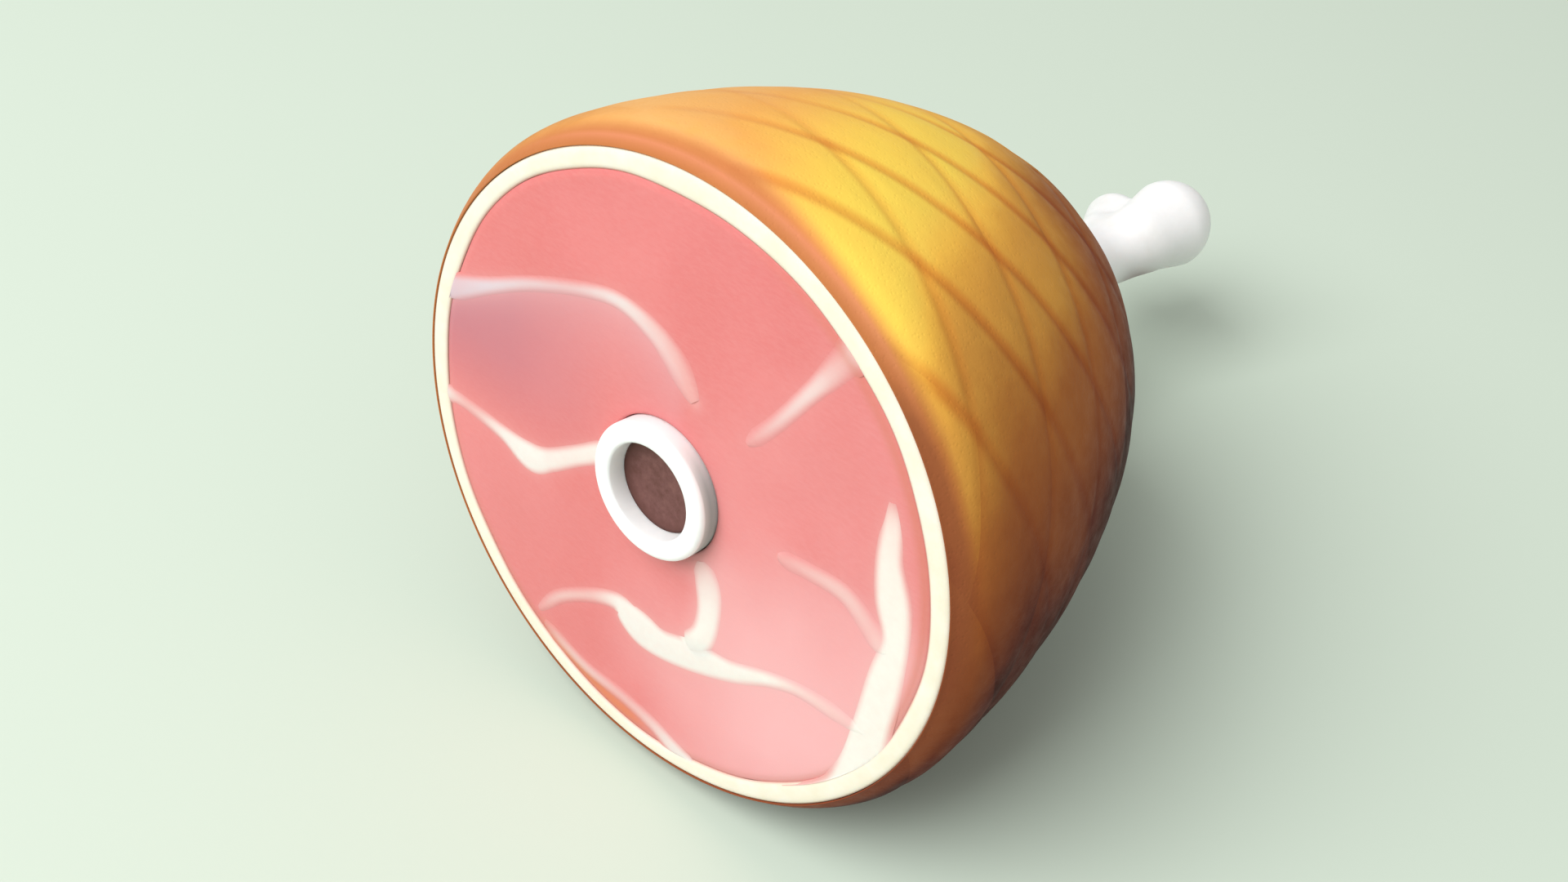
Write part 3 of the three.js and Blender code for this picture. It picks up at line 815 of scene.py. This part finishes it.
def strandCurve(name, lines):
    look = seamLook
    curve = bpy.data.curves.new(name + "Line", "CURVE")
    curve.dimensions = "3D"
    for bends in lines:
        run = smoothLine(bends, look["steps"])
        fromEnd = np.minimum(np.arange(len(run)), np.arange(len(run))[::-1])
        thinness = np.minimum(1, fromEnd / look["thinSteps"] + 0.12)
        spline = curve.splines.new("POLY")
        spline.points.add(len(run) - 1)
        for point, (x, z, half, _), thin in zip(spline.points, run, thinness):
            point.co = (x, z, 0, 1)
            point.radius = (half + look["spread"]) * math.sqrt(thin)
    return curve


def buildSeams(material):
    look = seamLook
    tree, sockets = seamTree(material)
    for name, strand in look["strands"].items():
        curve = strandCurve(name, strand["lines"])
        mesh = throughTree(curve, name, tree, sockets, (look["mound"], look["depth"]))
        # drawn flat, x and y on the face and z out of it: stood up on the face
        flat = readPoints(mesh)
        lift = faceRelief(flat[:, 0], flat[:, 1]) + look["lift"]
        # where a strand runs into the fat ring it stops under the ring's edge
        reach = np.hypot(flat[:, 0], flat[:, 1])
        limit = ringInnerEdge(np.arctan2(flat[:, 1], flat[:, 0])) + 0.6 * mm
        kept = np.where(reach > limit, limit + 0.03 * (reach - limit), reach) / np.maximum(reach, 1e-6)
        flat = flat * np.column_stack([kept, kept, np.ones(len(kept))])
        standing = np.stack([flat[:, 0], lift - flat[:, 2], flat[:, 1]], -1)
        mesh.vertices.foreach_set("co", layDown(standing).astype(np.float32).reshape(-1))
        paintFace(mesh)
        mesh.update()
        newPiece(name, mesh, material, strand["node"])


leanLook = {
    "columns": 480,
    "rows": 96,
    "ringClearance": 0.12 * mm,
    "rimUp": 0.35 * mm,  # how far the face is drawn back at the fat ring
    "boreUp": 0.3 * mm,  # and at the bone
    # the hole for the bone: mm along, radius, and height of its centre
    "bore": ((0, 40, 160), (20.1, 18, 15)),
    "boreCentre": ((0, 228), (2.7, -3)),
}


def buildLean(material):
    look = leanLook
    s = hamShape
    columns = look["columns"]
    angle = roundAngles(columns)
    inner = boneLook["radius"] + s["gap"]
    outer = ringInnerEdge(angle) - look["ringClearance"]
    rows = []
    for t in np.linspace(0, 1, look["rows"]):
        radius = inner + (outer - inner) * t
        centre = boneLook["faceCentre"][1] * (1 - t)
        drawn = look["rimUp"] * smoothStep(0.97, 1.0, t) + look["boreUp"] * smoothStep(0.03, 0.0, t)
        swell = faceRelief(radius * np.cos(angle), centre + radius * np.sin(angle))
        rows.append((radius, drawn + swell * math.sin(math.pi * t) ** 0.5, centre))
    backDepth = s["rindThickness"] + s["fatThickness"] + 2 * s["gap"]
    wallR, wallY = outlineRun(2 * mm, outlineReaches(22 * mm, backDepth), backDepth, 7)
    rows += [(r, y, 0.0) for r, y in zip(wallR, wallY)]
    for y in np.linspace(wallY[-1], 3 * mm, 6):
        rows.append((readTable(look["bore"], y), y, readTable(look["boreCentre"], y)))
    placed = layDown(ringsFrom(rows, columns), backDepth)
    mesh = meshFromRings("leanMeat", placed)
    paintFace(mesh)
    newPiece("leanMeat", mesh, material, "lean_meat")


fatLook = {
    "columns": 360,
    "ringOuter": 92.25 * mm,
    "ringRows": 11,
    "proud": 0.30 * mm,  # how far the ring's crown stands out of the face
    "edgeBack": 0.3 * mm,  # and how far its two edges are drawn back
    "mouthRadius": 27 * mm,
    "boneHole": 14.7 * mm,  # where the sleeve of fat at the shank meets the bone
    "boneCentre": -1.3 * mm,
    "sleeveWaves": [(5, 0.5, 1.0), (11, 0.3, 0.0)],
    "cream": [(0.3, "#f0e7d1"), (0.5, "#f3ebd8"), (0.7, "#f6eee0")],
    "edgeColour": "#dfa79b",
    "dried": [(0.3, "#8a4a2c"), (0.5, "#b57445"), (0.7, "#cf9660")],
}


def fatMaterial():
    # Cured back fat: cream and waxy, with a faint mottle, tanned where the shank end has dried.
    look = fatLook
    material, tree, place = newMaterial("creamBackFat")
    cloud = addNoise(tree, place, 120.0, 4.0, 0.6)
    cream, dried = (addRamp(tree, cloud, look[name]) for name in ("cream", "dried"))
    colour = mixColour(tree, readNumber(tree, "edge"), cream, look["edgeColour"])
    colour = mixColour(tree, readNumber(tree, "dried"), colour, dried)
    bump = addBump(tree, addNoise(tree, place, 420.0, 4.0), 0.25, 0.25 * mm)
    addSurface(tree, colour, 0.44, bump, 0.35, 1.45, (0.12, (1.0, 0.7, 0.45), 2.5 * mm))
    return material


def buildFat(material):
    look = fatLook
    s = hamShape
    columns = look["columns"]
    angle = roundAngles(columns)
    outerDepth = s["rindThickness"] + s["gap"]
    innerDepth = outerDepth + s["fatThickness"]
    inner = ringInnerEdge(angle)
    rows = []
    paint = []

    def addRow(radius, y, centre=0.0, dried=0.0, edge=0.0, under=outerDepth):
        rows.append((radius, y, centre))
        paint.append((dried, edge, under))

    # the ring on the cut face, the wall under the skin, the sleeve round the bone, and back inside
    for t in np.linspace(0, 1, look["ringRows"]):
        crown = look["edgeBack"] - (look["edgeBack"] + look["proud"]) * (1 - (2 * t - 1) ** 4)
        addRow(inner + (look["ringOuter"] - inner) * t, crown, edge=0.8 * smoothStep(0.14, 0.0, t),
               under=innerDepth + (outerDepth - innerDepth) * t)
    mouthY = outlineReaches(look["mouthRadius"], outerDepth)
    for r, y in zip(*outlineRun(1.5 * mm, mouthY, outerDepth, 26)):
        addRow(r, y, dried=smoothStep(150 * mm, 157 * mm, y))
    for t in np.linspace(0.08, 1, 16):
        radius = look["mouthRadius"] + (look["boneHole"] - look["mouthRadius"]) * t
        sleeve = mouthY + 1.2 * mm * math.sin(math.pi * t) + 4.5 * mm * smoothStep(0.55, 1.0, t)
        sleeve = sleeve + waves(angle, look["sleeveWaves"]) * t
        addRow(radius, sleeve, centre=look["boneCentre"] * t, dried=1.0 - 0.35 * t)
    addRow(look["boneHole"] - 0.2 * mm, mouthY, centre=look["boneCentre"], dried=1.0)
    backR, backY = outlineRun(2 * mm, outlineReaches(24 * mm, innerDepth), innerDepth, 14)
    for r, y in zip(backR[::-1], backY[::-1]):
        addRow(r, y, under=innerDepth)

    dried, edge, depth = (np.repeat(np.array(part)[:, None], columns, 1) for part in zip(*paint))
    mesh = meshFromRings("fatUnderRind", layDown(ringsFrom(rows, columns), depth))
    storeNumber(mesh, "dried", dried)
    storeNumber(mesh, "edge", edge)
    newPiece("fatUnderRind", mesh, material, "fat_layer")


boneLook = {
    "columns": 120,
    "proud": 5.5 * mm,
    "radius": 19.8 * mm,
    "wall": 5.9 * mm,
    "edgeRound": 1.5 * mm,
    "canalRound": 0.8 * mm,
    "canalDepth": 16 * mm,
    "marrowBelow": 5.8 * mm,
    "faceCentre": (0.0, 2.7 * mm),
    "endCentre": (-0.6 * mm, -5.9 * mm),
    "endAt": 228 * mm,
    "knuckleAt": 240 * mm,  # rays from here find the knuckle's surface
    # mm along the shaft, and its radius there
    "shaft": ((-6, 0, 12, 30, 70, 120, 160, 228), (19.8, 19.8, 19.2, 17.8, 15.4, 13.2, 12.1, 11.3)),
    # the knuckle's two lobes in mm: from, to, and the radius at each
    "lobes": [
        ((8.0, 240, 1.8), (10.0, 251.7, 3.8), 13.0, 15.85),
        ((-8.2, 238.7, -3.5), (-10.3, 251.5, -4.6), 7.6, 11.05),
    ],
    "lobeBlend": 4.5 * mm,
    "neckBlend": 9.5 * mm,
    "swell": 0.22 * mm,  # slight unevenness of grown bone
    "underLobeShadeAt": (13.5, 233.5, -10.5),  # mm, painted shade: a pink-grey patch under the larger lobe
    "underLobeShadeSize": (5.5, 9, 5.5),
    "underLobeShadeColour": "#a98f93",
    # painted shade on the lower right of the ring's outer wall
    "ringWallShadeColour": "#a6bfbd",
    "base": [(0.3, "#f1f2f0"), (0.5, "#fafbfb"), (0.7, "#ffffff")],
}


def boneCentre(y):
    share = np.clip(y / boneLook["endAt"], -0.1, 1.1)
    (x0, z0), (x1, z1) = boneLook["faceCentre"], boneLook["endCentre"]
    return x0 + (x1 - x0) * share, z0 + (z1 - z0) * share


def boneCentrePoint(y):
    cx, cz = boneCentre(y)
    return np.array([cx, y, cz])


def softUnion(a, b, width):
    h = np.clip(0.5 + 0.5 * (b - a) / width, 0, 1)
    return b * (1 - h) + a * h - width * h * (1 - h)


def pegDistance(points, start, end, startRadius, endRadius):
    start = np.array(start, float) * mm
    line = np.array(end, float) * mm - start
    share = np.clip(((points - start) @ line) / (line @ line), 0, 1)
    radius = (startRadius + (endRadius - startRadius) * share) * mm
    return np.linalg.norm(points - (start + share[..., None] * line), axis=-1) - radius


# How far outside the bone's outer surface a point is.
def boneDistance(points):
    look = boneLook
    cx, cz = boneCentre(points[..., 1])
    across = np.hypot(points[..., 0] - cx, points[..., 2] - cz)
    end = np.array([look["endCentre"][0], look["endAt"], look["endCentre"][1]])
    cap = np.linalg.norm(points - end, axis=-1) - readTable(look["shaft"], look["endAt"])
    along = points[..., 1]
    shaft = np.where(along < look["endAt"], across - readTable(look["shaft"], along), cap)
    first, second = (pegDistance(points, *lobe) for lobe in look["lobes"])
    return softUnion(shaft, softUnion(first, second, look["lobeBlend"]), look["neckBlend"])


# Where rays from inside the bone leave it.
def marchOut(origin, directions):
    low = np.zeros(len(directions))
    high = np.full(len(directions), 45 * mm)
    for _ in range(26):
        middle = (low + high) / 2
        inside = boneDistance(origin + directions * middle[:, None]) < 0
        low = np.where(inside, middle, low)
        high = np.where(inside, high, middle)
    return origin + directions * high[:, None]


def boneMaterial():
    # Cleaned bone: nearly white, dense and satin, faintly porous, with painted shade under the knuckle's
    # larger lobe and on the lower right of the ring's outer wall.
    look = boneLook
    material, tree, place = newMaterial("cleanedBone")
    base = addRamp(tree, addNoise(tree, place, 55.0, 4.0, 0.6), look["base"])
    pores = addNode(tree, "ShaderNodeTexVoronoi", {"Vector": place, "Scale": 620.0})
    pit = remap(tree, pores.outputs["Distance"], 0.0, 0.3)
    streak = addNode(tree, "ShaderNodeMapping", {"Vector": place, "Scale": (900.0, 120.0, 900.0)})
    grain = addNoise(tree, streak, 1.0, 3.0)
    bump = addBump(tree, grain, 0.12, 0.2 * mm, addBump(tree, pit, 0.08, 0.2 * mm))
    colour = mixColour(tree, readNumber(tree, "underLobeShade"), base, look["underLobeShadeColour"])
    colour = mixColour(tree, readNumber(tree, "ringWallShade"), colour, look["ringWallShadeColour"])
    addSurface(tree, colour, 0.42, bump, 0.4, 1.5, (0.5, (1.0, 0.9, 0.85), 6 * mm))
    return material


# Radius and y of the rings from the canal's floor out over the sawn edge.
def sawnRings():
    look = boneLook
    radius = look["radius"]
    proud = look["proud"]
    inner = radius - look["wall"]
    lip = look["canalRound"]
    edge = look["edgeRound"]
    canal = [(inner - 1.2 * mm, look["canalDepth"]), (inner - 0.9 * mm, 8 * mm), (inner - 0.3 * mm, 2 * mm),
             (inner, -2.5 * mm)]
    across = np.linspace(inner + 2 * lip, radius - edge - 0.5 * mm, 4)
    return [
        *canal,
        *roundedEdge(inner + lip, lip - proud, lip, 180, 270, 6),
        *((r, -proud) for r in across),
        *roundedEdge(radius - edge, edge - proud, edge, 270, 360, 10),
    ]


def buildBone(material):
    look = boneLook
    columns = look["columns"]
    angle = roundAngles(columns)
    around = np.stack([np.cos(angle), np.zeros(columns), np.sin(angle)], -1)
    rings = sawnRings()
    rows = [boneCentrePoint(y) + around * r for r, y in rings]
    # the shaft, one ring at a time, then the knuckle as rays from a point inside it
    turnAt = look["knuckleAt"]
    for y in [*np.linspace(-2 * mm, 160 * mm, 34), *np.linspace(163 * mm, turnAt, 42)]:
        rows.append(marchOut(boneCentrePoint(y), around))
    for tip in np.radians(np.linspace(2.5, 88.5, 44)):
        direction = around * math.cos(tip) + np.array([0, 1.0, 0]) * math.sin(tip)
        rows.append(marchOut(boneCentrePoint(turnAt), direction))
    grid = np.array(rows)
    along = grid[..., 1]
    swell = look["swell"] * np.sin(along * 95 + 2 * angle) * np.sin(3 * angle + along * 40)
    swell = swell * smoothStep(20 * mm, 60 * mm, along)
    grid[..., 0] += swell * np.cos(angle)
    grid[..., 2] += swell * np.sin(angle)
    # painted shade under the knuckle's larger lobe
    off = (grid - np.multiply(look["underLobeShadeAt"], mm)) / np.multiply(look["underLobeShadeSize"], mm)
    # painted shade: grey on the lower right of the ring's outer wall, from the sawn edge to the meat
    wall = smoothStep(-4.6 * mm, -3.6 * mm, along) * (np.arange(len(rows)) > len(rings) - 4)[:, None]
    wall = wall * smoothStep(-0.4, 0.6, np.cos(angle + 0.6)) * smoothStep(4 * mm, 2 * mm, along)
    mesh = meshFromRings("legBone", layDown(grid), poles=True)
    storeNumber(mesh, "underLobeShade", 0.9 * np.exp(-(off**2).sum(-1)))
    storeNumber(mesh, "ringWallShade", wall)
    newPiece("legBone", mesh, material, "leg_bone")


marrowLook = {
    "columns": 72,
    "rings": 12,
    "sag": 0.375 * mm,  # how far the plug rises at the wall of the bone
    "base": [(0.3, "#64403a"), (0.5, "#704b47"), (0.7, "#7d5650")],
    "rimColour": "#63403a",
}


def marrowMaterial():
    # Cooked marrow: dull brown and slightly crumbly, darker at the wall of the bone.
    look = marrowLook
    material, tree, place = newMaterial("cookedMarrow")
    crumb = addNoise(tree, place, 380.0, 5.0, 0.65)
    base = addRamp(tree, crumb, look["base"])
    colour = mixColour(tree, readNumber(tree, "rimTone"), base, look["rimColour"])
    bump = addBump(tree, crumb, 0.22, 0.4 * mm)
    addSurface(tree, colour, 0.62, bump, 0.25, 1.4)
    return material


def buildMarrow(material):
    look = marrowLook
    columns = look["columns"]
    inner = boneLook["radius"] - boneLook["wall"]
    front = boneLook["marrowBelow"] - boneLook["proud"]
    back = boneLook["canalDepth"]
    rings = [(r, front - look["sag"] * (r / inner) ** 6)
             for r in np.linspace(0.6 * mm, inner - 0.4 * mm, look["rings"])]
    rings += [(inner - 0.45 * mm, front + 0.5 * mm), (inner - 1.5 * mm, back - 0.6 * mm),
              (inner - 6 * mm, back - 0.5 * mm)]
    grid = ringsFrom([(r, y, boneLook["faceCentre"][1]) for r, y in rings], columns)
    mesh = meshFromRings("marrow", layDown(grid), poles=True)
    radius = np.array([r for r, _ in rings])
    storeNumber(mesh, "rimTone", np.repeat(smoothStep(9 * mm, 13.4 * mm, radius)[:, None], columns, 1))
    newPiece("marrowPlug", mesh, material, "marrow")


studio = {
    "floorColour": "#cfddce",
    "floorSize": 16.0,
    "skyColour": "#fdfaf8",
    "skyStrength": 0.46,
    "keyEnergy": 64.0,
    "keySize": 1.9,
    "keyFrom": (-0.50, -1.35, 2.1),  # metres from the ham
    "lens": 35.55,
    "azimuth": 41.51,
    "elevation": 44.07,
    "distance": 460 * mm,
    "aimFromFace": (-8.2 * mm, 58.3 * mm, -28.3 * mm),
}


def buildFloor():
    # Matt paint: even, with the faintest roller stipple.
    material, tree, place = newMaterial("mattPaintedBoard")
    bump = addBump(tree, addNoise(tree, place, 300.0, 2.0), 0.03, 0.1 * mm)
    addSurface(tree, studio["floorColour"], 0.9, bump, 0.1, 1.5)
    half = studio["floorSize"] / 2
    mesh = bpy.data.meshes.new("floor")
    corners = [(-half, -half, 0), (half, -half, 0), (half, half, 0), (-half, half, 0)]
    mesh.from_pydata(corners, [], [(0, 1, 2, 3)])
    mesh.materials.append(material)
    newObject("floor", mesh)
    print("floor: done")


def buildLights():
    world = bpy.data.worlds.new("studio")
    bpy.context.scene.world = world
    world.use_nodes = True
    back = world.node_tree.nodes["Background"]
    back.inputs[0].default_value = linearColour(studio["skyColour"])
    back.inputs[1].default_value = studio["skyStrength"]
    lamp = bpy.data.lights.new("key", "AREA")
    lamp.energy = studio["keyEnergy"]
    lamp.size = studio["keySize"]
    light = newObject("key", lamp)
    light.location = Vector(studio["keyFrom"])
    light.rotation_euler = (-light.location).to_track_quat("-Z", "Y").to_euler()
    print("lights: done")


def buildCamera():
    lens = bpy.data.cameras.new("camera")
    lens.lens = studio["lens"]
    lens.sensor_width = 36
    turn = math.radians(studio["azimuth"])
    rise = math.radians(studio["elevation"])
    toward = Vector((math.sin(turn) * math.cos(rise), -math.cos(turn) * math.cos(rise), math.sin(rise)))
    aim = hamAt + Vector(studio["aimFromFace"])
    camera = newObject("camera", lens)
    camera.location = aim + toward * studio["distance"]
    camera.rotation_euler = Euler((math.pi / 2 - rise, 0, turn))
    bpy.context.scene.camera = camera
    print("camera: done")


buildRind(rindMaterial())
buildFat(fatMaterial())
buildLean(leanMaterial())
buildSeams(seamMaterial())
buildBone(boneMaterial())
buildMarrow(marrowMaterial())
buildFloor()
buildLights()
buildCamera()
bpy.context.scene.view_settings.view_transform = "Standard"
